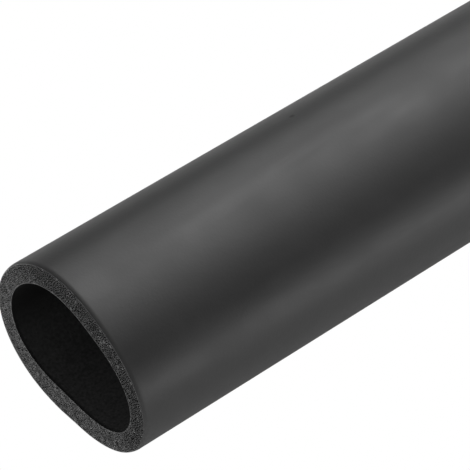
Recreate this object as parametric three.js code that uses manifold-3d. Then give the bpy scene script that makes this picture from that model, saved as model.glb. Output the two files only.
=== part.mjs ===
// Pipe insulation lagging: one straight length of black closed-cell foam tube, cut square at both
// ends. Millimetres, +Z up. The tube lies along X on its flattened underside, which is at z = 0,
// and the origin is under the middle of its length.
import * as THREE from 'three';
import { mergeVertices } from 'three/addons/utils/BufferGeometryUtils.js';
import Module from 'manifold-3d';

// Driving dimensions of the tube in the round, as it is moulded
const BORE = 60; // the soft bore goes on over a steel pipe of 60.3 mm
const WALL = 10;
const LENGTH = 1000;
const EDGE_ROUND = 0.8; // soft outer edge of each cut end

// How the soft tube has settled as it lies. Its middle line keeps its length and goes out of round
// by three waves: each has a rise in millimetres and the angle of one crest, in degrees from +Y
// towards +Z.
const OVAL_RISE = 4.35;
const OVAL_CREST = 6;
const THREE_LOBE_RISE = 1.25;
const THREE_LOBE_CREST = 84;
const FOUR_LOBE_RISE = 0.25;
const FOUR_LOBE_CREST = -11;

// The wall is not even: it is thicker to one side, and thicker at two opposite places
const WALL_OFFSET = 0.63;
const WALL_OFFSET_ANGLE = -86;
const WALL_SWELL = 1.75;
const WALL_SWELL_ANGLE = 104;

// How deep the underside is pressed flat where it bears on the floor
const BASE_FLAT_DEPTH = 0.3;

// Fineness of the outline and of the rounded edge
const OUTLINE_POINTS = 120;
const EDGE_STEPS = 3;

const wave = (angle, count, rise, crest) =>
  rise * Math.cos(count * (angle - THREE.MathUtils.degToRad(crest)));

const outlineAngles = Array.from(
  { length: OUTLINE_POINTS },
  (unused, index) => (index / OUTLINE_POINTS) * 2 * Math.PI,
);

// A point of the line through the middle of the wall, in the plane across the tube
function middlePoint(angle, meanRadius) {
  const radius =
    meanRadius +
    wave(angle, 2, OVAL_RISE, OVAL_CREST) +
    wave(angle, 3, THREE_LOBE_RISE, THREE_LOBE_CREST) +
    wave(angle, 4, FOUR_LOBE_RISE, FOUR_LOBE_CREST);
  return new THREE.Vector2(radius * Math.cos(angle), radius * Math.sin(angle));
}

function middleLength(meanRadius) {
  const points = outlineAngles.map((angle) => middlePoint(angle, meanRadius));
  return points.reduce((sum, point, index) => sum + point.distanceTo(points.at(index - 1)), 0);
}

// The mean radius at which the settled middle line is as long as the round one
function settledRadius() {
  const roundLength = Math.PI * (BORE + WALL);
  let radius = (BORE + WALL) / 2;
  for (let step = 0; step < 12; step += 1) {
    radius += (roundLength - middleLength(radius)) / (2 * Math.PI);
  }
  return radius;
}

function outwardNormal(angle, meanRadius) {
  const reach = 0.001;
  const along = middlePoint(angle + reach, meanRadius).sub(middlePoint(angle - reach, meanRadius));
  return new THREE.Vector2(along.y, -along.x).normalize();
}

function wallAt(angle) {
  const offset = wave(angle, 1, WALL_OFFSET, WALL_OFFSET_ANGLE);
  const swell = wave(angle, 2, WALL_SWELL, WALL_SWELL_ANGLE);
  return WALL + offset + swell;
}

// The outline on one side of the wall: side is 1 for the outer skin and -1 for the bore
function wallOutline(side) {
  const meanRadius = settledRadius();
  return outlineAngles.map((angle) => {
    const reach = (side * wallAt(angle)) / 2;
    return middlePoint(angle, meanRadius).addScaledVector(outwardNormal(angle, meanRadius), reach);
  });
}

const skinOutline = wallOutline(1);
const boreOutline = wallOutline(-1);

// The underside is pressed flat, and both outlines move so that the flat is at z = 0 and the
// origin is under the middle of the width
const baseLevel = Math.min(...skinOutline.map((point) => point.y)) + BASE_FLAT_DEPTH;
skinOutline.forEach((point) => {
  point.y = Math.max(point.y, baseLevel);
});
const skinBounds = new THREE.Box2().setFromPoints(skinOutline);
const origin = new THREE.Vector2(skinBounds.getCenter(new THREE.Vector2()).x, baseLevel);
[...skinOutline, ...boreOutline].forEach((point) => point.sub(origin));

const wasm = await Module();
wasm.setup();

function toSolid(geometry) {
  geometry.deleteAttribute('normal');
  geometry.deleteAttribute('uv');
  const merged = mergeVertices(geometry);
  const mesh = new wasm.Mesh({
    numProp: 3,
    vertProperties: Float32Array.from(merged.getAttribute('position').array),
    triVerts: Uint32Array.from(merged.getIndex().array),
  });
  return new wasm.Manifold(mesh);
}

function toGeometry(solid) {
  const mesh = solid.getMesh();
  const geometry = new THREE.BufferGeometry();
  geometry.setAttribute('position', new THREE.BufferAttribute(mesh.vertProperties, 3));
  geometry.setIndex(new THREE.BufferAttribute(mesh.triVerts, 1));
  geometry.computeVertexNormals();
  return geometry;
}

// The outer skin as a solid bar with softly rounded ends, centred on its length
function skinBar() {
  const bar = new THREE.ExtrudeGeometry(new THREE.Shape(skinOutline), {
    depth: LENGTH - 2 * EDGE_ROUND,
    bevelEnabled: true,
    bevelThickness: EDGE_ROUND,
    bevelSize: EDGE_ROUND,
    bevelOffset: -EDGE_ROUND,
    bevelSegments: EDGE_STEPS,
  });
  return bar.translate(0, 0, EDGE_ROUND - LENGTH / 2);
}

// The bore as a plug that passes both cut ends
function borePlug() {
  const overrun = 5;
  const depth = LENGTH + 2 * overrun;
  const plug = new THREE.ExtrudeGeometry(new THREE.Shape(boreOutline), { depth, bevelEnabled: false });
  return plug.translate(0, 0, -depth / 2);
}

const foam = new THREE.MeshStandardMaterial({ color: 0x353535, roughness: 0.75, metalness: 0 });
const tube = new THREE.Mesh(toGeometry(toSolid(skinBar()).subtract(toSolid(borePlug()))), foam);
tube.name = 'foam_tube';

// The section is drawn in X and Y and drawn out along Z: X goes to Y, Y to Z and Z to X
const across = new THREE.Vector3(0, 1, 0);
const upwards = new THREE.Vector3(0, 0, 1);
const lengthwise = new THREE.Vector3(1, 0, 0);
tube.setRotationFromMatrix(new THREE.Matrix4().makeBasis(across, upwards, lengthwise));

const lagging = new THREE.Group();
lagging.add(tube);

export default lagging;
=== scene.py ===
"""Dresses one straight length of black foam pipe lagging for a studio still.

The tube is one closed mesh around the section of the CAD solid: a smooth moulded skin, a bore, and
two cut ends whose foam cells are opened by Geometry Nodes. Metres, +Z up, the tube lies along X.
"""

import logging
import math
from dataclasses import dataclass, field
from enum import Enum
from typing import Any, Union

import bmesh
import bpy
import numpy as np
from mathutils import Matrix, Vector
from mathutils.geometry import delaunay_2d_cdt


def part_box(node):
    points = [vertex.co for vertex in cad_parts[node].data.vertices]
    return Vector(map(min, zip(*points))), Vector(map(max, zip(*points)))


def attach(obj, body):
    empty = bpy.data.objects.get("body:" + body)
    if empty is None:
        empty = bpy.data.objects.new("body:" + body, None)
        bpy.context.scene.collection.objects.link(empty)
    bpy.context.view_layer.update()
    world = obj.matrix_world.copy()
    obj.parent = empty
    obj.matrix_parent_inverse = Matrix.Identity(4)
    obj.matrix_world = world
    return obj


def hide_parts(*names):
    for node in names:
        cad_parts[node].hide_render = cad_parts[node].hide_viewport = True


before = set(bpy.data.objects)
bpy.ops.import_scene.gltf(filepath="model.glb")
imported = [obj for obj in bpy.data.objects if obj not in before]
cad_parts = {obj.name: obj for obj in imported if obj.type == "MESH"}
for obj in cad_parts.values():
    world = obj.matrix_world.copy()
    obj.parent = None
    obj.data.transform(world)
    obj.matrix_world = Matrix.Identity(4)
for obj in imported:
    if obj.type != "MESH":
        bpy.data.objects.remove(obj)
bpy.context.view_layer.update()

LOG = logging.getLogger("lagging")
MM = 0.001
# Points closer than this are one point
WELD = 1e-6
# Mean of a noise texture, and of a random number from 0 to 1
MEAN = 0.5
WHITE = (1.0, 1.0, 1.0, 1.0)

Number = Union[int, float]
Value = Union["Wire", int, float]
Point = tuple[float, float, float]
Settings = Union[dict[str, Any], None]


class Zone(Enum):
    """A surface of the tube that has its own material, by the name that marks its faces."""

    SKIN = "skin"
    CUT = "cut"
    BORE = "bore"


class TubeEnd(Enum):
    """A cut end of the tube, by the side of the origin that it is on."""

    NEAR = -1
    FAR = 1


class Draw(Enum):
    """What a random number is drawn for, by the number that it adds to the seed."""

    CLOSED = 0
    TONE = 1
    WEB = 2
    DEPTH = 3
    TAPER = 4
    RIPPLE = 5


class Wire:
    """A node's output socket, with the arithmetic that adds Math nodes."""

    def __init__(self, graph: "Graph", socket: bpy.types.NodeSocket) -> None:
        """Keeps the socket and the graph that it belongs to."""
        self.graph = graph
        self.socket = socket

    def math(self, operation: str, *others: Value) -> "Wire":
        """Adds a Math node that works on this wire.

        Args:
            operation: The Math node's operation.
            others: The values or wires of its other sockets.

        Returns:
            The node's result.
        """
        return self.graph.calculate(operation, self, *others)

    def within(self, low: Number, high: Number) -> "Wire":
        """Keeps this wire from passing two limits."""
        return self.math("MAXIMUM", low).math("MINIMUM", high)

    def __add__(self, other: Value) -> "Wire":
        """Adds another value or wire."""
        return self.math("ADD", other)

    def __radd__(self, other: Number) -> "Wire":
        """Adds this wire to a value."""
        return self.math("ADD", other)

    def __sub__(self, other: Value) -> "Wire":
        """Takes another value or wire away."""
        return self.math("SUBTRACT", other)

    def __rsub__(self, other: Number) -> "Wire":
        """Takes this wire away from a value."""
        return self.graph.calculate("SUBTRACT", other, self)

    def __mul__(self, other: Value) -> "Wire":
        """Multiplies by another value or wire."""
        return self.math("MULTIPLY", other)

    def __rmul__(self, other: Number) -> "Wire":
        """Multiplies a value by this wire."""
        return self.math("MULTIPLY", other)

    def __truediv__(self, other: Value) -> "Wire":
        """Divides by another value or wire."""
        return self.math("DIVIDE", other)

    def __rtruediv__(self, other: Number) -> "Wire":
        """Divides a value by this wire."""
        return self.graph.calculate("DIVIDE", other, self)


class Graph:
    """A node tree that is built by method calls."""

    def __init__(self, tree: bpy.types.NodeTree) -> None:
        """Starts on an empty node tree."""
        self.tree = tree

    @staticmethod
    def find(sockets: Any, name: str) -> bpy.types.NodeSocket:
        """Finds the socket of that name which the node's settings leave in use."""
        return next(socket for socket in sockets if socket.name == name and socket.enabled)

    def node(self, kind: str, settings: Settings = None, **inputs: Any) -> bpy.types.Node:
        """Adds any node.

        Args:
            kind: The node's type.
            settings: Its own settings, which are made before its sockets are filled.
            inputs: The values or wires of its sockets, with an underscore for each space.

        Returns:
            The new node.
        """
        node = self.tree.nodes.new(kind)
        for key, value in (settings or {}).items():
            setattr(node, key, value)
        self.fill_inputs(node, inputs)
        return node

    def fill_inputs(self, node: bpy.types.Node, inputs: dict[str, Any]) -> None:
        """Fills a node's sockets by name, with an underscore for each space."""
        for key, value in inputs.items():
            self.fill(self.find(node.inputs, key.replace("_", " ")), value)

    def fill(self, socket: bpy.types.NodeSocket, value: Any) -> None:
        """Links a wire to a socket, or sets the socket's own value.

        Args:
            socket: The socket.
            value: The wire or the value.
        """
        if isinstance(value, Wire):
            self.tree.links.new(value.socket, socket)
        else:
            socket.default_value = value

    def wire(self, node: bpy.types.Node, output: str) -> Wire:
        """Takes a node's output by its name."""
        return Wire(self, self.find(node.outputs, output))

    def make(self, kind: str, output: str, settings: Settings = None, **inputs: Any) -> Wire:
        """Adds a node and takes one of its outputs.

        Args:
            kind: The node's type.
            output: The name of the output.
            settings: The node's own settings.
            inputs: The values or wires of its sockets.

        Returns:
            The output.
        """
        return self.wire(self.node(kind, settings, **inputs), output)

    def calculate(self, operation: str, *terms: Value) -> Wire:
        """Adds a Math node.

        Args:
            operation: Its operation.
            terms: The values or wires of its sockets, in order.

        Returns:
            The result.
        """
        node = self.node("ShaderNodeMath", {"operation": operation})
        for socket, term in zip(node.inputs, terms):
            self.fill(socket, term)
        return Wire(self, node.outputs[0])


class MeshGraph(Graph):
    """A Geometry Nodes tree, with the steps that the foam cells are made by."""

    def __init__(self, tree: bpy.types.NodeTree) -> None:
        """Starts with the tree's inputs, which its interface has already.

        Args:
            tree: The tree.
        """
        super().__init__(tree)
        entry = self.node("NodeGroupInput")
        self.given = {socket.name: Wire(self, socket) for socket in entry.outputs if socket.name}

    def attribute(self, name: str, kind: str) -> Wire:
        """Reads a named attribute of that data type."""
        return self.make(
            "GeometryNodeInputNamedAttribute", "Attribute", {"data_type": kind}, Name=name
        )

    def marked(self, mesh: Wire, name: str, value: Wire) -> Wire:
        """Stores a number on each face under a name."""
        return self.make(
            "GeometryNodeStoreNamedAttribute", "Geometry", {"data_type": "FLOAT", "domain": "FACE"},
            Geometry=mesh, Name=name, Value=value,
        )

    def carried(self, value: Wire, domain: str) -> Wire:
        """Carries a field over to the points, edges or faces."""
        return self.make(
            "GeometryNodeFieldOnDomain", "Value", {"domain": domain, "data_type": "FLOAT"},
            Value=value,
        )

    def random(self, draw: Draw, low: float, high: float) -> Wire:
        """Draws a random number for each element.

        Args:
            draw: What it is drawn for.
            low: The least that it may be.
            high: The most that it may be.

        Returns:
            The random number.
        """
        seed = self.given["Seed"] + draw.value
        return self.make(
            "FunctionNodeRandomValue", "Value", {"data_type": "FLOAT"}, Min=low, Max=high, Seed=seed
        )

    def extruded(self, mesh: Wire, chosen: Wire, offset: Value) -> bpy.types.Node:
        """Adds the node that extrudes each chosen face by itself."""
        return self.node(
            "GeometryNodeExtrudeMesh", {"mode": "FACES"},
            Mesh=mesh, Selection=chosen, Offset_Scale=offset, Individual=True,
        )

    def scaled(self, mesh: Wire, chosen: Wire, scale: Wire) -> Wire:
        """Scales each chosen face about its middle."""
        return self.make(
            "GeometryNodeScaleElements", "Geometry", {"domain": "FACE", "scale_mode": "UNIFORM"},
            Geometry=mesh, Selection=chosen, Scale=scale,
        )

    def shaded(self, mesh: Wire, smooth: bool) -> Wire:
        """Shades the faces smooth or flat."""
        return self.make(
            "GeometryNodeSetShadeSmooth", "Geometry", Geometry=mesh, Shade_Smooth=smooth
        )

    def painted(self, mesh: Wire, material: Wire, **choice: Wire) -> Wire:
        """Gives a material to all faces, or to those of a Selection."""
        return self.make(
            "GeometryNodeSetMaterial", "Geometry", Geometry=mesh, Material=material, **choice
        )

    def joined(self, *parts: Wire) -> Wire:
        """Joins several parts into one geometry.

        Args:
            parts: The parts.

        Returns:
            The geometry.
        """
        node = self.node("GeometryNodeJoinGeometry")
        for part in parts:
            self.tree.links.new(part.socket, node.inputs["Geometry"])
        return self.wire(node, "Geometry")


class Surface(Graph):
    """A material with one Principled surface."""

    def __init__(self, name: str) -> None:
        """Makes the material, with nothing on its surface yet.

        Args:
            name: The material's name.
        """
        self.material = bpy.data.materials.new(name)
        self.material.use_nodes = True
        self.material.node_tree.nodes.clear()
        super().__init__(self.material.node_tree)
        self.principled = self.node("ShaderNodeBsdfPrincipled")
        self.node("ShaderNodeOutputMaterial", Surface=self.wire(self.principled, "BSDF"))

    def finish(self, **values: Any) -> None:
        """Fills sockets of the surface by name, with an underscore for each space."""
        self.fill_inputs(self.principled, values)

    def finish_grey(self, grey: Wire) -> None:
        """Gives the surface a grey that changes over it."""
        colour = self.make("ShaderNodeCombineColor", "Color", Red=grey, Green=grey, Blue=grey)
        self.finish(Base_Color=colour)

    def emboss(self, height: Wire, strength: float, distance: float) -> None:
        """Gives the surface a relief.

        Args:
            height: The relief's height, which changes over the surface.
            strength: How strongly it shows.
            distance: How high it is where the height is 1.
        """
        relief = self.make(
            "ShaderNodeBump", "Normal", Height=height, Strength=strength, Distance=distance
        )
        self.finish(Normal=relief)

    def place(self) -> Wire:
        """Reads the point in the object's own coordinates."""
        return self.make("ShaderNodeTexCoord", "Object")

    def face_value(self, name: str) -> Wire:
        """Reads a number that the faces carry."""
        return self.make("ShaderNodeAttribute", "Fac", {"attribute_name": name})

    def depth_from_cut(self, place: Wire, length: float) -> Wire:
        """Measures how far a point is from the nearest cut end.

        Args:
            place: The point, in the tube's own coordinates.
            length: The tube's length.

        Returns:
            The distance.
        """
        axes = self.node("ShaderNodeSeparateXYZ", Vector=place)
        return length / 2 - self.wire(axes, "X").math("ABSOLUTE")


@dataclass(frozen=True)
class Noise:
    """A noise texture.

    Attributes:
        scale: How many of its features fit in a metre.
        detail: How many finer layers it has.
        roughness: How strong each finer layer is.
        along: How fast it changes along the tube, as a share of across it.
    """

    scale: float
    detail: float
    roughness: float = 0.5
    along: float = 1.0

    def at(self, place: Wire) -> Wire:
        """Adds the texture to a point's graph.

        Args:
            place: The point, in the tube's own coordinates.

        Returns:
            The texture's value there, from 0 to 1.
        """
        graph = place.graph
        if self.along != 1.0:
            drawn_out = (self.along, 1.0, 1.0)
            place = graph.make("ShaderNodeMapping", "Vector", Vector=place, Scale=drawn_out)
        return graph.make(
            "ShaderNodeTexNoise", "Fac",
            Vector=place, Scale=self.scale, Detail=self.detail, Roughness=self.roughness,
        )


@dataclass(frozen=True)
class Section:
    """The tube's section across its length, read off the CAD solid.

    Attributes:
        skin: Points of the outer outline, in metres across and up.
        bore: Points of the bore's outline.
        length: Length of the tube.
    """

    skin: np.ndarray
    bore: np.ndarray
    length: float

    @classmethod
    def from_solid(cls, solid: bpy.types.Object) -> "Section":
        """Reads the section off the CAD solid.

        The solid has the whole outer outline just inside its rounded edge, and the bore's outline
        on its cut end, where the outer outline is drawn in by the rounded edge.

        Args:
            solid: The CAD node.

        Returns:
            The section.
        """
        corner_digits = 7
        level_digits = 5
        corners = np.array([vertex.co for vertex in solid.data.vertices])
        corners = np.unique(corners.round(corner_digits), axis=0)
        levels = np.unique(corners[:, 0].round(level_digits))
        inner_level = levels[levels < 0].max()
        skin = corners[np.abs(corners[:, 0] - inner_level) < WELD][:, 1:]
        end = corners[np.abs(corners[:, 0] - levels[0]) < WELD][:, 1:]
        gap = np.linalg.norm(end[:, None] - skin[None], axis=2).min(axis=1)
        # The outer outline is drawn in by the edge's own depth, so twice that is well clear of it
        clear = abs(levels[0] - inner_level) * 2 + WELD
        return cls(cls.in_turn(skin), cls.in_turn(end[gap > clear]), float(levels[-1] - levels[0]))

    @staticmethod
    def in_turn(points: np.ndarray) -> np.ndarray:
        """Sorts an outline's points by their angle about its middle.

        Args:
            points: The points, in any order.

        Returns:
            The points, in turn.
        """
        middle = (points.min(axis=0) + points.max(axis=0)) / 2
        offset = points - middle
        return points[np.argsort(np.arctan2(offset[:, 1], offset[:, 0]))]

    @staticmethod
    def resample(outline: np.ndarray, count: int) -> np.ndarray:
        """Spaces points evenly along a smooth curve through an outline.

        Args:
            outline: The points that the curve passes.
            count: How many points to make.

        Returns:
            The new points.
        """
        fine = 16
        steps = np.linspace(0, 1, fine, endpoint=False)[:, None]
        before = np.roll(outline, 1, axis=0)
        after = np.roll(outline, -1, axis=0)
        beyond = np.roll(outline, -2, axis=0)
        # Each piece is the cubic between the middle two of four points that flows into the next
        pieces = [
            0.5 * (2 * b + (c - a) * steps + (2 * a - 5 * b + 4 * c - d) * steps**2
                   + (3 * b - a - 3 * c + d) * steps**3)
            for a, b, c, d in zip(before, outline, after, beyond)
        ]
        curve = np.concatenate(pieces)
        closed = np.vstack([curve, curve[:1]])
        sides = np.linalg.norm(np.diff(closed, axis=0), axis=1)
        travel = np.concatenate([[0.0], np.cumsum(sides)])
        wanted = np.linspace(0, travel[-1], count, endpoint=False)
        return np.column_stack([np.interp(wanted, travel, closed[:, axis]) for axis in (0, 1)])

    @staticmethod
    def drawn_in(outline: np.ndarray, distance: float) -> np.ndarray:
        """Moves an outline inwards.

        Args:
            outline: The outline.
            distance: How far, and outwards where it is negative.

        Returns:
            The new outline.
        """
        along = np.roll(outline, -1, axis=0) - np.roll(outline, 1, axis=0)
        outward = np.column_stack([along[:, 1], -along[:, 0]])
        outward /= np.linalg.norm(outward, axis=1)[:, None]
        return outline - outward * distance

    @staticmethod
    def with_midpoints(outline: np.ndarray) -> np.ndarray:
        """Adds the middle of each side between an outline's points."""
        middles = (outline + np.roll(outline, -1, axis=0)) / 2
        return np.stack([outline, middles], axis=1).reshape(-1, 2)


@dataclass(frozen=True)
class CellPattern:
    """Where the foam's cells lie on a cut end.

    Attributes:
        smallest: Radius that the smallest cell keeps free.
        largest: Radius that the largest cell keeps free.
        small_bias: How far small cells outnumber large ones: 1 for not at all, more for further.
        skin_share: How much smaller the cells are next to the skins.
        skin_depth: How far in from the skins they have their whole size.
        rim: Distance from the outlines in which no cell has its middle.
        attempts: How many places are tried.
        seed: Seed of the random places, to which each end adds its own side.
    """

    smallest: float = 0.23 * MM
    largest: float = 0.50 * MM
    small_bias: float = 1.6
    skin_share: float = 0.8
    skin_depth: float = 2.0 * MM
    rim: float = 0.32 * MM
    attempts: int = 90000
    seed: int = 11

    def middles(self, outer: np.ndarray, inner: np.ndarray, end: TubeEnd) -> np.ndarray:
        """Scatters the cells' middles over the ring between two outlines.

        Args:
            outer: The ring's outer outline.
            inner: The ring's inner outline, with as many points in the same turns.
            end: The cut end that the ring is on.

        Returns:
            The middles.
        """
        random = np.random.default_rng(self.seed + end.value)
        turn = random.random(self.attempts) * len(outer)
        first = turn.astype(int)
        share = (turn - first)[:, None]
        second = (first + 1) % len(outer)
        out = outer[first] * (1 - share) + outer[second] * share
        near = inner[first] * (1 - share) + inner[second] * share
        wall = np.linalg.norm(out - near, axis=1)
        depth = random.random(self.attempts)
        margin = np.minimum(depth, 1 - depth) * wall
        places = near + (out - near) * depth[:, None]
        draw = random.random(self.attempts) ** self.small_bias
        radii = self.smallest + (self.largest - self.smallest) * draw
        radii *= np.interp(margin, [0, self.skin_depth], [self.skin_share, 1.0])
        order = np.argsort(-radii)
        keep = self.thin_out(places[order], radii[order], margin[order] > self.rim)
        return places[order][keep]

    def thin_out(self, places: np.ndarray, radii: np.ndarray, allowed: np.ndarray) -> np.ndarray:
        """Keeps the places whose free circles don't meet, the first come first.

        Args:
            places: The places, in order.
            radii: Their free radii.
            allowed: Which places may be kept.

        Returns:
            The numbers of the kept places.
        """
        pitch = 2 * self.largest
        grid: dict[tuple[int, int], list[int]] = {}
        kept: list[int] = []
        columns = np.floor(places / pitch).astype(int)
        for number in np.flatnonzero(allowed):
            column, row = columns[number]
            x, y = places[number]
            radius = radii[number]
            clear = all(
                (places[other, 0] - x) ** 2 + (places[other, 1] - y) ** 2
                >= (radius + radii[other]) ** 2
                for i in (column - 1, column, column + 1)
                for j in (row - 1, row, row + 1)
                for other in grid.get((i, j), ())
            )
            if clear:
                grid.setdefault((column, row), []).append(int(number))
                kept.append(int(number))
        return np.array(kept)


@dataclass(frozen=True)
class CutFoamCells:
    """Geometry Nodes that turn the triangles of the cut ends into open foam cells.

    Attributes:
        web: Width of the thin wall between two cells.
        web_range: Least and greatest share of that width that a cell takes.
        depth: Depth of a cell, as a share of its width.
        depth_range: Least and greatest share of that depth.
        taper: How wide a cell's bottom is, as a share of its mouth.
        taper_range: Least and greatest share of that.
        least_mouth: Share of a cell's width that its mouth has at least.
        ripple: How far the torn walls stand out of the cut.
        closed: Share of the cells that the cut leaves closed.
        trace: Share under which a face or a corner counts as clear of the rims.
        seed: Seed of everything random.
    """

    web: float = 0.075 * MM
    web_range: tuple[float, float] = (0.7, 1.8)
    depth: float = 0.68
    depth_range: tuple[float, float] = (0.45, 1.25)
    taper: float = 0.55
    taper_range: tuple[float, float] = (0.8, 1.3)
    least_mouth: float = 0.45
    ripple: float = 0.10 * MM
    closed: float = 0.02
    trace: float = 0.001
    seed: int = 7

    def sizes(self) -> dict[str, Number]:
        """Lists the numbers that the node group takes, by the names of its inputs."""
        return {
            "Web": self.web,
            "Depth": self.depth,
            "Taper": self.taper,
            "Ripple": self.ripple,
            "Closed": self.closed,
            "Seed": self.seed,
        }

    def build(self) -> bpy.types.NodeTree:
        """Builds the node group.

        Returns:
            The node group, with named inputs for its sizes and for the zones' materials.
        """
        tree = bpy.data.node_groups.new("Cut foam cells", "GeometryNodeTree")
        kinds = {"Geometry": "NodeSocketGeometry"}
        for name, size in self.sizes().items():
            kinds[name] = "NodeSocketInt" if isinstance(size, int) else "NodeSocketFloat"
        for zone in Zone:
            kinds[zone.value] = "NodeSocketMaterial"
        for name, kind in kinds.items():
            tree.interface.new_socket(name, in_out="INPUT", socket_type=kind)
        tree.interface.new_socket("Geometry", in_out="OUTPUT", socket_type=kinds["Geometry"])
        graph = MeshGraph(tree)
        cut = graph.attribute(Zone.CUT.value, "BOOLEAN")
        parts = graph.node(
            "GeometryNodeSeparateGeometry", {"domain": "FACE"},
            Geometry=graph.given["Geometry"], Selection=cut,
        )
        cells = self.open_cells(graph, graph.wire(parts, "Selection"))
        walls = self.paint_walls(graph, graph.wire(parts, "Inverted"))
        welded = graph.make(
            "GeometryNodeMergeByDistance", "Geometry",
            Geometry=graph.joined(walls, cells), Distance=WELD,
        )
        real = graph.make("GeometryNodeRealizeInstances", "Geometry", Geometry=welded)
        graph.node("NodeGroupOutput", Geometry=real)
        return tree

    def open_cells(self, graph: MeshGraph, caps: Wire) -> Wire:
        """Adds the nodes that make cells of the caps' triangles and sink them.

        Args:
            graph: The graph to add to.
            caps: The triangulated caps.

        Returns:
            The caps with open cells.
        """
        given = graph.given
        dual = graph.make("GeometryNodeDualMesh", "Dual Mesh", Mesh=caps, Keep_Boundaries=True)
        sides = graph.make("GeometryNodeInputMeshEdgeNeighbors", "Face Count")
        bare = graph.make(
            "FunctionNodeCompare", "Result", {"data_type": "INT", "operation": "LESS_THAN"},
            A=sides, B=2,
        )
        at_rim = graph.carried(graph.carried(bare, "EDGE"), "POINT")
        rim_face = graph.carried(at_rim, "FACE")
        cells = self.ripple_webs(graph, dual, at_rim)
        cut_open = graph.random(Draw.CLOSED, 0.0, 1.0).math("GREATER_THAN", given["Closed"])
        inner = rim_face.math("LESS_THAN", self.trace) * cut_open
        tone = graph.random(Draw.TONE, 0.0, 1.0)
        plain = 1 - inner
        border = plain * graph.attribute("outside", "FLOAT")
        for name, value in (("tone", tone), ("plain", plain), ("border", border)):
            cells = graph.marked(cells, name, value)
        opened = graph.extruded(cells, inner, 0.0)
        top = graph.wire(opened, "Top")
        width = graph.make("GeometryNodeInputMeshFaceArea", "Area").math("SQRT")
        web = given["Web"] * graph.random(Draw.WEB, *self.web_range)
        mouth = (1 - web / width).math("MAXIMUM", self.least_mouth)
        shrunk = graph.scaled(graph.wire(opened, "Mesh"), top, mouth)
        fall = width * given["Depth"] * graph.random(Draw.DEPTH, *self.depth_range)
        sunk = graph.extruded(shrunk, top, fall * -1)
        floor = graph.wire(sunk, "Top")
        narrow = given["Taper"] * graph.random(Draw.TAPER, *self.taper_range)
        tapered = graph.scaled(graph.wire(sunk, "Mesh"), floor, narrow)
        pit = graph.calculate("MAXIMUM", floor, graph.wire(sunk, "Side"))
        flat = graph.shaded(graph.marked(tapered, "pit", pit), False)
        return graph.painted(flat, given[Zone.CUT.value])

    def ripple_webs(self, graph: MeshGraph, cells: Wire, at_rim: Wire) -> Wire:
        """Moves the corners of the cells a little out of the cut, away from the rims.

        Args:
            graph: The graph to add to.
            cells: The cells, flat.
            at_rim: Field that is over 0 on the rims' corners.

        Returns:
            The rippled cells.
        """
        half = 0.5
        wave = graph.random(Draw.RIPPLE, -half, half) * graph.given["Ripple"]
        normal = graph.make("GeometryNodeInputNormal", "Normal")
        offset = graph.make(
            "ShaderNodeVectorMath", "Vector", {"operation": "SCALE"}, Vector=normal, Scale=wave
        )
        inside = at_rim.math("LESS_THAN", self.trace)
        return graph.make(
            "GeometryNodeSetPosition", "Geometry", Geometry=cells, Selection=inside, Offset=offset
        )

    @staticmethod
    def paint_walls(graph: MeshGraph, walls: Wire) -> Wire:
        """Gives the skin and the bore their materials and smooth shading.

        Args:
            graph: The graph to add to.
            walls: The faces that aren't cut.

        Returns:
            The finished faces.
        """
        skinned = graph.painted(graph.shaded(walls, True), graph.given[Zone.SKIN.value])
        bore = graph.attribute(Zone.BORE.value, "BOOLEAN")
        return graph.painted(skinned, graph.given[Zone.BORE.value], Selection=bore)

    def apply(
        self, blank: bpy.types.Object, materials: dict[Zone, bpy.types.Material]
    ) -> bpy.types.Mesh:
        """Runs the nodes on a blank and takes the plain mesh.

        Args:
            blank: The tube with triangulated caps.
            materials: The material of each zone.

        Returns:
            The finished mesh.
        """
        tree = self.build()
        modifier = blank.modifiers.new("Cut foam cells", "NODES")
        modifier.node_group = tree
        values = {**self.sizes(), **{zone.value: material for zone, material in materials.items()}}
        for item in tree.interface.items_tree:
            if item.in_out == "INPUT" and item.name in values:
                modifier[item.identifier] = values[item.name]
        evaluated = blank.evaluated_get(bpy.context.evaluated_depsgraph_get())
        mesh = bpy.data.meshes.new_from_object(evaluated)
        blank.modifiers.remove(modifier)
        return mesh


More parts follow.
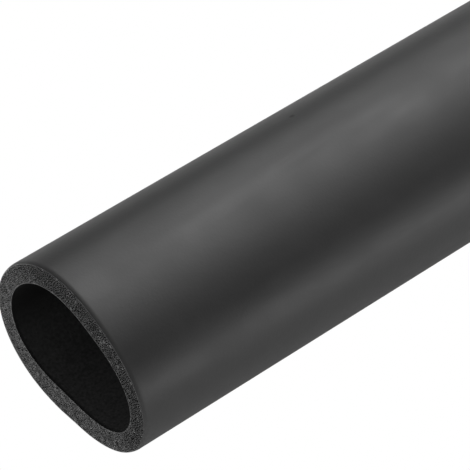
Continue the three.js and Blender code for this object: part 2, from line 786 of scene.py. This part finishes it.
@dataclass(frozen=True)
class MouldedSkin:
    """Finish of the outer skin: matte black rubber with a faint draw of the die.

    Attributes:
        grey: Linear base colour.
        roughness: Mean roughness.
        cloud: Slow clouds in its tone and gloss.
        draw: Faint lines that the die left along the tube.
        cloud_share: How much the clouds count in tone and gloss.
        draw_share: How much the lines count there.
        tone_wander: How far the tone wanders.
        gloss_wander: How far the roughness wanders.
        fine: The fine grain.
        grain: Height of that grain.
        draw_height: How high the die's lines are, in grain heights.
        peel: The skin's orange peel.
        peel_height: How high that is, in grain heights.
        relief: How strongly all of these show.
        wear_and_painted_light: How far from each cut the skin is dull from wear and paler from
            painted light.
        painted_light_paling: Painted light: how much paler it is at the cut, lifting the shade
            where the edge rolls in.
        worn_dulling: How much rougher it is at the cut.
        speck: Radius of the few dark specks.
        speck_pitch: How far apart the specks lie.
        speck_shade: How much darker they are.
        mark: Radius of the one mark near the top of the tube.
        mark_place: Where that mark is.
        mark_shade: How much darker it is in its middle.
        mark_dulling: How much rougher it is there.
    """

    grey: float = 0.0225
    roughness: float = 0.51
    cloud: Noise = Noise(45.0, 7.0, 0.68)
    draw: Noise = Noise(260.0, 4.0, along=0.12)
    cloud_share: float = 0.7
    draw_share: float = 0.3
    tone_wander: float = 0.52
    gloss_wander: float = 0.26
    fine: Noise = Noise(1900.0, 2.0)
    grain: float = 0.02 * MM
    draw_height: float = 0.8
    peel: Noise = Noise(850.0, 2.0)
    peel_height: float = 6.0
    relief: float = 0.35
    wear_and_painted_light: float = 2.8 * MM
    painted_light_paling: float = 0.3
    worn_dulling: float = 0.06
    speck: float = 0.36 * MM
    speck_pitch: float = 17 * MM
    speck_shade: float = 0.45
    mark: float = 1.4 * MM
    mark_place: Point = (-376.2 * MM, 18.0 * MM, 68.7 * MM)
    mark_shade: float = 0.85
    mark_dulling: float = 0.24

    def material(self, length: float) -> bpy.types.Material:
        """Makes the material.

        Args:
            length: The tube's length.

        Returns:
            The material.
        """
        surface = Surface("Moulded skin")
        place = surface.place()
        draw = self.draw.at(place)
        clouded = (self.cloud.at(place) - MEAN) * self.cloud_share
        wander = clouded + (draw - MEAN) * self.draw_share
        # Falls from 1 at each cut: dulling from wear, and painted light that pales the skin
        wear_and_painted_light = (1 - surface.depth_from_cut(place, length) / self.wear_and_painted_light).math("MAXIMUM", 0)
        mark = self.mark_spot(place)
        spotted = (1 - self.specks(place) * self.speck_shade) * (1 - mark * self.mark_shade)
        # Painted light: the skin is paler towards each cut, lifting the shade where its edge rolls
        # in
        shade = (wear_and_painted_light * self.painted_light_paling + 1) * spotted
        surface.finish_grey((wander * self.tone_wander + 1) * self.grey * shade)
        dulled = wander * self.gloss_wander + self.roughness + wear_and_painted_light * self.worn_dulling
        surface.finish(Roughness=dulled + mark * self.mark_dulling)
        peel = self.peel.at(place) * self.peel_height
        height = self.fine.at(place) + draw * self.draw_height + peel
        surface.emboss(height, self.relief, self.grain)
        return surface.material

    def specks(self, place: Wire) -> Wire:
        """Adds a field that is 1 on the few specks and 0 elsewhere."""
        nearest = place.graph.make(
            "ShaderNodeTexVoronoi", "Distance", Vector=place, Scale=1 / self.speck_pitch
        )
        return nearest.math("LESS_THAN", self.speck / self.speck_pitch)

    def mark_spot(self, place: Wire) -> Wire:
        """Adds the one mark near the top of the tube.

        Args:
            place: The point, in the tube's own coordinates.

        Returns:
            Field that falls from 1 in the mark's middle to 0 at its edge.
        """
        away = tuple(-part / self.mark for part in self.mark_place)
        scale = (1 / self.mark,) * len(away)
        centred = place.graph.make(
            "ShaderNodeMapping", "Vector", Vector=place, Location=away, Scale=scale
        )
        distance = place.graph.make(
            "ShaderNodeVectorMath", "Value", {"operation": "LENGTH"}, Vector=centred
        )
        return (1 - distance).math("MAXIMUM", 0)


@dataclass(frozen=True)
class CutFoam:
    """Finish of the cut cells: grey webs, with pits between them that painted shade darkens.

    Attributes:
        web_grey: Linear base colour of the webs.
        pit_shade_grey: Linear base colour inside the cells, darker than the webs as painted shade.
        rim_grey: Linear base colour of the closed foam along the skins.
        border_shade: How much darker it is under the outer skin, or paler where negative.
        border_painted_light_lean: Painted light and shade: how much that differs between the paler
            side and the other.
        level: How pale all of these are halfway between the two sides.
        spread: How far the cells differ in tone.
        smear_spread: How much further they differ towards the side that the painted light makes
            paler.
        fine: The fine grain.
        fine_spread: How far that grain changes the tone.
        painted_light_lean: Painted light: how much paler the cut is low on the left than high on
            the right.
        pit_painted_light_lean: Painted light: how much paler the pits are there, on top of that.
        across_share: How much a step across the section counts towards that side.
        up_share: How much a step up counts away from it.
        middle: Where the change is halfway.
        reach: Half the distance over which the change runs.
        blotch: The blotches, which grow towards the side that the painted light makes paler.
        smear: How blotchy it is.
        glints: Share of the cells whose webs catch the light.
        glint_grey: How much paler those webs are.
        roughness: Mean roughness.
        gloss_spread: How far the cells differ in roughness.
        grain: Height of the fine grain.
        relief: How strongly it shows.
    """

    web_grey: float = 0.095
    pit_shade_grey: float = 0.033
    rim_grey: float = 0.045
    border_shade: float = -0.1
    border_painted_light_lean: float = 1.0
    level: float = 1.2
    spread: float = 0.7
    smear_spread: float = 0.6
    fine: Noise = Noise(3200.0, 2.0)
    fine_spread: float = 0.45
    painted_light_lean: float = 0.34
    pit_painted_light_lean: float = 0.42
    across_share: float = 0.8
    up_share: float = 1.1
    middle: float = 47 * MM
    reach: float = 17 * MM
    blotch: Noise = Noise(420.0, 2.0)
    smear: float = 1.5
    glints: float = 0.012
    glint_grey: float = 0.28
    roughness: float = 0.62
    gloss_spread: float = 0.3
    grain: float = 0.05 * MM
    relief: float = 0.5

    def material(self) -> bpy.types.Material:
        """Makes the material.

        Returns:
            The material.
        """
        surface = Surface("Cut foam")
        place = surface.place()
        pit, tone, plain, border = map(surface.face_value, ("pit", "tone", "plain", "border"))
        fine = self.fine.at(place)
        axes = surface.node("ShaderNodeSeparateXYZ", Vector=place)
        sideways = surface.wire(axes, "Y") * self.across_share
        across = sideways - surface.wire(axes, "Z") * self.up_share
        # Painted light: the side runs from high on the right of the cut, painted darker, to low on
        # the left, painted paler
        side = ((across + self.middle) / self.reach).within(-1, 1)
        # Painted shade: the pits take a darker colour than the webs, lifted by painted light on the
        # paler side
        pit_shade = pit * ((side * self.pit_painted_light_lean + 1) * self.pit_shade_grey - self.web_grey)
        # Painted light and shade: the closed foam under the outer skin is paler on the paler side
        # and darker on the other
        rim = plain + border * (self.border_shade - side * self.border_painted_light_lean)
        on_rim = rim * (self.rim_grey - self.web_grey)
        # Painted light and shade scale the whole cut's tone by its side
        base = (pit_shade + on_rim + self.web_grey) * (side * self.painted_light_lean + self.level)
        # The side runs from -1 to 1, and the share of painted light from 0 to 1
        half = 0.5
        painted_light_share = side * half + half
        smear = (self.blotch.at(place) - MEAN) * painted_light_share * self.smear
        cell_tone = (tone - MEAN) * (painted_light_share * self.smear_spread + 1) * self.spread
        uneven = cell_tone + (fine - MEAN) * self.fine_spread + smear
        open_web = (1 - pit - plain).math("MAXIMUM", 0)
        glint = tone.math("GREATER_THAN", 1 - self.glints) * open_web * self.glint_grey
        surface.finish_grey(base * (uneven + 1) + glint)
        surface.finish(Roughness=self.roughness + (tone - MEAN) * self.gloss_spread)
        surface.emboss(fine, self.relief, self.grain)
        return surface.material


@dataclass(frozen=True)
class BoreSkin:
    """Finish inside the bore: the same rubber, duller, and paler in clouds towards its bottom.

    Attributes:
        grey: Linear base colour of the rubber.
        roughness: Mean roughness.
        shine: Specular level.
        draw: Faint lines that the die left along the bore.
        draw_shade: How far the lines change the tone.
        gloss_wander: How far they change the roughness.
        fine: The fine grain.
        grain: Height of grain and lines.
        relief: How strongly they show.
        pale_bottom_grey: Linear base colour where the bore is paler towards its bottom.
        pale_bottom_depth: How far in from the cut that paling starts to be whole.
        pale_bottom_height: How far up from the bottom of the bore the paling reaches.
        pale_bottom_fall: How fast it thins out on the way up: 1 for evenly, more for faster.
        cloud: The clouds that it lies in.
        cloud_share: How much those count.
        least_pale_bottom: Share of the paling that lies between the clouds.
    """

    grey: float = 0.007
    roughness: float = 0.85
    shine: float = 0.08
    draw: Noise = Noise(300.0, 3.0, along=0.15)
    draw_shade: float = 0.5
    gloss_wander: float = 0.2
    fine: Noise = Noise(1500.0, 2.0)
    grain: float = 0.03 * MM
    relief: float = 0.4
    pale_bottom_grey: float = 0.070
    pale_bottom_depth: float = 1.5 * MM
    pale_bottom_height: float = 26 * MM
    pale_bottom_fall: float = 2.0
    cloud: Noise = Noise(850.0, 2.0)
    cloud_share: float = 1.6
    least_pale_bottom: float = 0.2

    def material(self, section: Section) -> bpy.types.Material:
        """Makes the material.

        Args:
            section: The tube's section.

        Returns:
            The material.
        """
        surface = Surface("Bore skin")
        place = surface.place()
        draw = self.draw.at(place)
        depth = surface.depth_from_cut(place, section.length)
        inwards = (depth / self.pale_bottom_depth).math("MINIMUM", 1)
        level = surface.wire(surface.node("ShaderNodeSeparateXYZ", Vector=place), "Z")
        top = float(section.bore[:, 1].min()) + self.pale_bottom_height
        towards_bottom = ((top - level) / self.pale_bottom_height).within(0, 1).math("POWER", self.pale_bottom_fall)
        clouds = self.cloud.at(place) * self.cloud_share + self.least_pale_bottom
        # The bore is paler in clouds towards its bottom, from a little way in from each cut
        pale_bottom = inwards * towards_bottom * (self.pale_bottom_grey - self.grey) * clouds
        lines = draw * self.draw_shade + (1 - self.draw_shade / 2)
        surface.finish_grey((pale_bottom + self.grey) * lines)
        gloss = (draw - MEAN) * self.gloss_wander
        surface.finish(Roughness=gloss + self.roughness, Specular_IOR_Level=self.shine)
        surface.emboss(self.fine.at(place) + draw, self.relief, self.grain)
        return surface.material


def add_object(name: str, data: Any) -> bpy.types.Object:
    """Makes an object and puts it in the scene.

    Args:
        name: The object's name.
        data: Its mesh, light or camera.

    Returns:
        The object.
    """
    thing = bpy.data.objects.new(name, data)
    bpy.context.scene.collection.objects.link(thing)
    return thing


class MeshMaker:
    """Collects the faces of the tube's blank.

    It keeps the zone that each face is in, and the corners on the outer rims of the cut ends.
    """

    def __init__(self) -> None:
        """Starts with no faces."""
        self.vertices: list[Point] = []
        self.faces: list[tuple[int, ...]] = []
        self.zones: list[Zone] = []
        self.outer_corners: list[int] = []

    def sleeve(self, rings: list[np.ndarray], zone: Zone) -> None:
        """Adds the quads between rings.

        Args:
            rings: The rings, in the order that turns the faces outwards.
            zone: The zone that the quads are in.
        """
        start = len(self.vertices)
        count = len(rings[0])
        for ring in rings:
            self.vertices.extend(map(tuple, ring))
        for row in range(len(rings) - 1):
            low = start + row * count
            high = low + count
            for column in range(count):
                following = (column + 1) % count
                self.faces.append((low + following, high + following, high + column, low + column))
                self.zones.append(zone)

    def cap(
        self, outer: np.ndarray, inner: np.ndarray, middles: np.ndarray, end: TubeEnd, half: float
    ) -> None:
        """Adds the triangles of a cut end, whose corners are the cells' middles.

        Args:
            outer: The cap's outer outline.
            inner: Its inner outline, with as many points.
            middles: The cells' middles.
            end: Which end it is.
            half: Half the tube's length.
        """
        ring = len(outer)
        edges = [(low + i, low + (i + 1) % ring) for low in (0, ring) for i in range(ring)]
        # The triangles are drawn in millimetres, and only inside the outer outline
        scale = 1 / MM
        inside_only = 1
        closeness = 1e-7
        points = np.vstack([outer, inner, middles]) * scale
        corners, _, triangles, sources, _, _ = delaunay_2d_cdt(
            [Vector(point) for point in points], edges, [], inside_only, closeness
        )
        flat = np.array(corners) / scale
        start = len(self.vertices)
        self.vertices.extend((end.value * half, y, z) for y, z in flat)
        self.outer_corners.extend(
            start + number for number, source in enumerate(sources) if min(source) < ring
        )
        middle = inner.mean(axis=0)
        reach = np.linalg.norm(inner - middle, axis=1)
        bearing = np.arctan2(*(inner - middle).T[::-1])
        # The triangles that lie in the bore are left out
        for triangle in triangles:
            offset = flat[list(triangle)].mean(axis=0) - middle
            turn = math.atan2(offset[1], offset[0])
            if np.linalg.norm(offset) < np.interp(turn, bearing, reach, period=2 * math.pi):
                continue
            in_turn = triangle if end is TubeEnd.FAR else triangle[::-1]
            self.faces.append(tuple(start + corner for corner in in_turn))
            self.zones.append(Zone.CUT)

    def finish(self, name: str) -> bpy.types.Object:
        """Makes the object, with its zones and its outer corners marked.

        Args:
            name: The object's name.

        Returns:
            The object.
        """
        mesh = bpy.data.meshes.new(name)
        mesh.from_pydata(self.vertices, [], self.faces)
        for zone in (Zone.CUT, Zone.BORE):
            layer = mesh.attributes.new(zone.value, "BOOLEAN", "FACE")
            layer.data.foreach_set("value", [face is zone for face in self.zones])
        outside = mesh.attributes.new("outside", "FLOAT", "POINT")
        for number in self.outer_corners:
            outside.data[number].value = 1.0
        return add_object(name, mesh)


@dataclass
class FoamTube:
    """The length of foam tube, as one closed mesh.

    Attributes:
        section: The section that the tube follows.
        edge_run: How far from the cut the skin starts to roll in.
        edge_fall: How far it has rolled in at the cut.
        lip: Radius of the small edge round the bore.
        turns: How many cells lie along each rim.
        edge_steps: How many steps each edge has.
        spans: How many spans the skin has along the tube.
        pattern: Where the cells lie.
        cells: The nodes that open them.
    """

    section: Section
    edge_run: float = 2.0 * MM
    edge_fall: float = 0.48 * MM
    lip: float = 0.25 * MM
    turns: int = 200
    edge_steps: int = 5
    spans: int = 6
    pattern: CellPattern = field(default_factory=CellPattern)
    cells: CutFoamCells = field(default_factory=CutFoamCells)

    def dress(self) -> bpy.types.Object:
        """Builds the finished tube with its materials.

        Returns:
            The tube's object.
        """
        materials = {
            Zone.SKIN: MouldedSkin().material(self.section.length),
            Zone.CUT: CutFoam().material(),
            Zone.BORE: BoreSkin().material(self.section),
        }
        blank = self.blank()
        mesh = self.cells.apply(blank, materials)
        mesh.name = "foam_tube_detail"
        spare = blank.data
        bpy.data.objects.remove(blank)
        bpy.data.meshes.remove(spare)
        return add_object("foam_tube_detail", mesh)

    def blank(self) -> bpy.types.Object:
        """Builds the tube before its cells are opened.

        The caps are triangles whose corners are the cells' middles. The attributes cut and bore
        mark the faces of the caps and of the bore, and outside marks the caps' outer corners.

        Returns:
            The blank's object.
        """
        skin = Section.resample(self.section.skin, self.turns)
        bore = Section.resample(self.section.bore, self.turns)
        steps = np.linspace(0, 1, self.edge_steps + 1)
        rolled = [(self.edge_run * step, self.edge_fall * (1 - step) ** 2) for step in steps]
        rounded = [
            (self.lip * (1 - math.cos(turn)), -self.lip * (1 - math.sin(turn)))
            for turn in steps * math.pi / 2
        ]
        maker = MeshMaker()
        maker.sleeve(self.rings(skin, rolled), Zone.SKIN)
        maker.sleeve(self.rings(bore, rounded)[::-1], Zone.BORE)
        rim_outer = Section.drawn_in(skin, self.edge_fall)
        rim_inner = Section.drawn_in(bore, -self.lip)
        facing = self.facing(rim_inner, rim_outer)
        for end in TubeEnd:
            middles = self.pattern.middles(rim_outer, facing, end)
            maker.cap(rim_outer, rim_inner, middles, end, self.section.length / 2)
        return maker.finish("tube_blank")

    @staticmethod
    def facing(inner: np.ndarray, outer: np.ndarray) -> np.ndarray:
        """Turns the inner outline so that its points face those of the outer one."""
        start = np.linalg.norm(inner - outer[0], axis=1).argmin()
        return np.roll(inner, -start, axis=0)

    def rings(self, outline: np.ndarray, edge: list[tuple[float, float]]) -> list[np.ndarray]:
        """Lists the rings of a sleeve with soft ends, from the near end to the far end.

        Args:
            outline: The sleeve's outline.
            edge: The edge's steps from the cut inwards, each the distance from the cut and how
                far the outline is drawn in there.

        Returns:
            The rings, each as points in space.
        """
        half = self.section.length / 2
        start = half - edge[-1][0]
        stations = [(depth - half, inset) for depth, inset in edge]
        stations += [(x, 0.0) for x in np.linspace(-start, start, self.spans + 1)[1:-1]]
        stations += [(half - depth, inset) for depth, inset in reversed(edge)]
        rings = []
        for x, inset in stations:
            flat = Section.with_midpoints(Section.drawn_in(outline, inset))
            rings.append(np.column_stack([np.full(len(flat), x), flat]))
        return rings


@dataclass(frozen=True)
class PhotoCamera:
    """The camera, placed by where the near cut end falls in the photograph.

    Attributes:
        azimuth: Bearing of the camera in degrees, 0 when it looks along +Y.
        elevation: Height above the horizon in degrees.
        sensor: Width of the sensor in millimetres.
        lens: Focal length in millimetres.
        distance: Depth of the near end's middle.
        end_pixel: Where the middle of the near end's box falls, in the photograph's pixels.
        frame_pixels: Width and height of the photograph.
    """

    azimuth: float = -40.6
    elevation: float = 44.0
    sensor: float = 36.0
    lens: float = 247.17
    distance: float = 1.1810
    end_pixel: tuple[float, float] = (69.34, 354.71)
    frame_pixels: int = 470

    def build(self, near_middle: Vector) -> bpy.types.Object:
        """Makes the scene's camera.

        Args:
            near_middle: Middle of the near end's box.

        Returns:
            The camera.
        """
        turn = math.radians(self.azimuth)
        rise = math.radians(self.elevation)
        level = math.cos(rise)
        back = Vector((math.sin(turn) * level, -math.cos(turn) * level, math.sin(rise)))
        right = Vector((math.cos(turn), math.sin(turn), 0.0))
        up = back.cross(right)
        focal_pixels = self.lens / self.sensor * self.frame_pixels
        centre = self.frame_pixels / 2
        across, down = (
            (pixel - centre) / focal_pixels * self.distance for pixel in self.end_pixel
        )
        data = bpy.data.cameras.new("Camera")
        data.sensor_width = self.sensor
        data.lens = self.lens
        camera = add_object("Camera", data)
        place = near_middle + back * self.distance - right * across + up * down
        turned = Matrix((right, up, back)).transposed().to_4x4()
        camera.matrix_world = Matrix.Translation(place) @ turned
        bpy.context.scene.camera = camera
        return camera


@dataclass(frozen=True)
class Softbox:
    """A soft rectangular light.

    Attributes:
        name: Its name.
        place: Its middle.
        aim: The point that it faces.
        width: Its size across.
        height: Its size up.
        radiance: How bright its face looks.
    """

    name: str
    place: Point
    aim: Point
    width: float
    height: float
    radiance: float

    def build(self) -> bpy.types.Object:
        """Makes the light, turned to its aim.

        Returns:
            The light.
        """
        data = bpy.data.lights.new(self.name, "AREA")
        data.shape = "RECTANGLE"
        data.size = self.width
        data.size_y = self.height
        data.energy = math.pi * self.width * self.height * self.radiance
        light = add_object(self.name, data)
        light.location = self.place
        back = Vector(self.place) - Vector(self.aim)
        light.rotation_euler = back.to_track_quat("Z", "Y").to_euler()
        light.visible_camera = False
        return light


@dataclass(frozen=True)
class Studio:
    """The pale floor and backdrop, and the plain soft light.

    Attributes:
        floor_size: Width of the floor.
        backdrop_sides: How many sides the round backdrop has.
        floor_glow: How bright the floor and the backdrop look.
        bounce_grey: Linear colour of the sheet that throws light back up at the tube.
        bounce_glow: Strength of that sheet's own light.
        sky: Strength of the light from all round.
        lights: The softboxes.
    """

    floor_size: float = 60.0
    backdrop_sides: int = 48
    floor_glow: float = 1.0
    bounce_grey: float = 0.6
    bounce_glow: float = 0.30
    sky: float = 0.03
    lights: tuple[Softbox, ...] = (
        Softbox("Overhead softbox", (0.37, 0.24, 1.5), (0.37, 0.24, 0.0), 0.95, 1.2, 6.75),
        Softbox("Back softbox", (0.8, 1.8, 1.5), (0.8, 1.8, 0.0), 0.6, 0.6, 15.0),
        Softbox("Front strip", (0.1, -0.9, 0.07), (-0.05, 0.0, 0.03), 0.8, 0.045, 27.0),
        Softbox("End fill", (-0.62, 0.0, 0.025), (-0.5, 0.0, 0.015), 0.2, 0.04, 4.8),
    )

    def build(self) -> None:
        """Makes the floor, the backdrop, the world and the lights."""
        shown = self.staged(self.sheet("floor"), 0.0, self.floor_glow)
        bounce = self.staged(self.sheet("bounce"), self.bounce_grey, self.bounce_glow)
        bounce.visible_camera = False
        backdrop = self.staged(self.dome("backdrop"), 0.0, self.floor_glow)
        for camera_only in (shown, backdrop):
            camera_only.visible_diffuse = False
            camera_only.visible_glossy = False
            camera_only.visible_shadow = False
        world = bpy.data.worlds.new("Studio")
        world.use_nodes = True
        world.node_tree.nodes.clear()
        graph = Graph(world.node_tree)
        background = graph.make(
            "ShaderNodeBackground", "Background", Color=WHITE, Strength=self.sky
        )
        graph.node("ShaderNodeOutputWorld", Surface=background)
        bpy.context.scene.world = world
        for light in self.lights:
            light.build()

    def sheet(self, name: str) -> bpy.types.Mesh:
        """Makes the mesh of a level sheet as wide as the studio.

        Args:
            name: The mesh's name.

        Returns:
            The mesh.
        """
        half = self.floor_size / 2
        corners = [(-half, -half, 0.0), (half, -half, 0.0), (half, half, 0.0), (-half, half, 0.0)]
        mesh = bpy.data.meshes.new(name)
        mesh.from_pydata(corners, [], [(0, 1, 2, 3)])
        return mesh

    def dome(self, name: str) -> bpy.types.Mesh:
        """Makes the mesh of a dome over the floor, whose faces point inwards.

        Args:
            name: The mesh's name.

        Returns:
            The mesh.
        """
        sides = self.backdrop_sides
        shape = bmesh.new()
        bmesh.ops.create_uvsphere(
            shape, u_segments=sides, v_segments=sides, radius=self.floor_size / 2
        )
        below = [vertex for vertex in shape.verts if vertex.co.z < -WELD]
        bmesh.ops.delete(shape, geom=below, context="VERTS")
        bmesh.ops.reverse_faces(shape, faces=shape.faces)
        mesh = bpy.data.meshes.new(name)
        shape.to_mesh(mesh)
        shape.free()
        return mesh

    @staticmethod
    def staged(mesh: bpy.types.Mesh, grey: float, glow: float) -> bpy.types.Object:
        """Makes a stage object of a mesh, with a matte surface that glows.

        Args:
            mesh: The mesh, which the object and its material are named for.
            grey: Linear colour of the surface.
            glow: Strength of its own light.

        Returns:
            The object.
        """
        surface = Surface(mesh.name)
        surface.finish(Base_Color=(grey, grey, grey, 1.0), Roughness=1.0, Specular_IOR_Level=0.0)
        surface.finish(Emission_Color=WHITE, Emission_Strength=glow)
        mesh.materials.append(surface.material)
        thing = add_object(mesh.name, mesh)
        return thing


def report(piece: bpy.types.Object) -> None:
    """Logs a piece's name and size."""
    LOG.info(
        "%s: %d faces, %s mm", piece.name, len(piece.data.polygons),
        [round(size / MM, 1) for size in piece.dimensions],
    )


def main() -> None:
    """Builds the tube, the studio and the camera, in that order."""
    logging.basicConfig(level=logging.INFO, format="%(name)s: %(message)s")
    bpy.context.scene.view_settings.view_transform = "Standard"
    section = Section.from_solid(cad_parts["foam_tube"])
    tube = FoamTube(section).dress()
    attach(tube, "root")
    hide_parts("foam_tube")
    report(tube)
    Studio().build()
    low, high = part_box("foam_tube")
    PhotoCamera().build(Vector((low.x, (low.y + high.y) / 2, (low.z + high.z) / 2)))


if __name__ == "__main__":
    main()
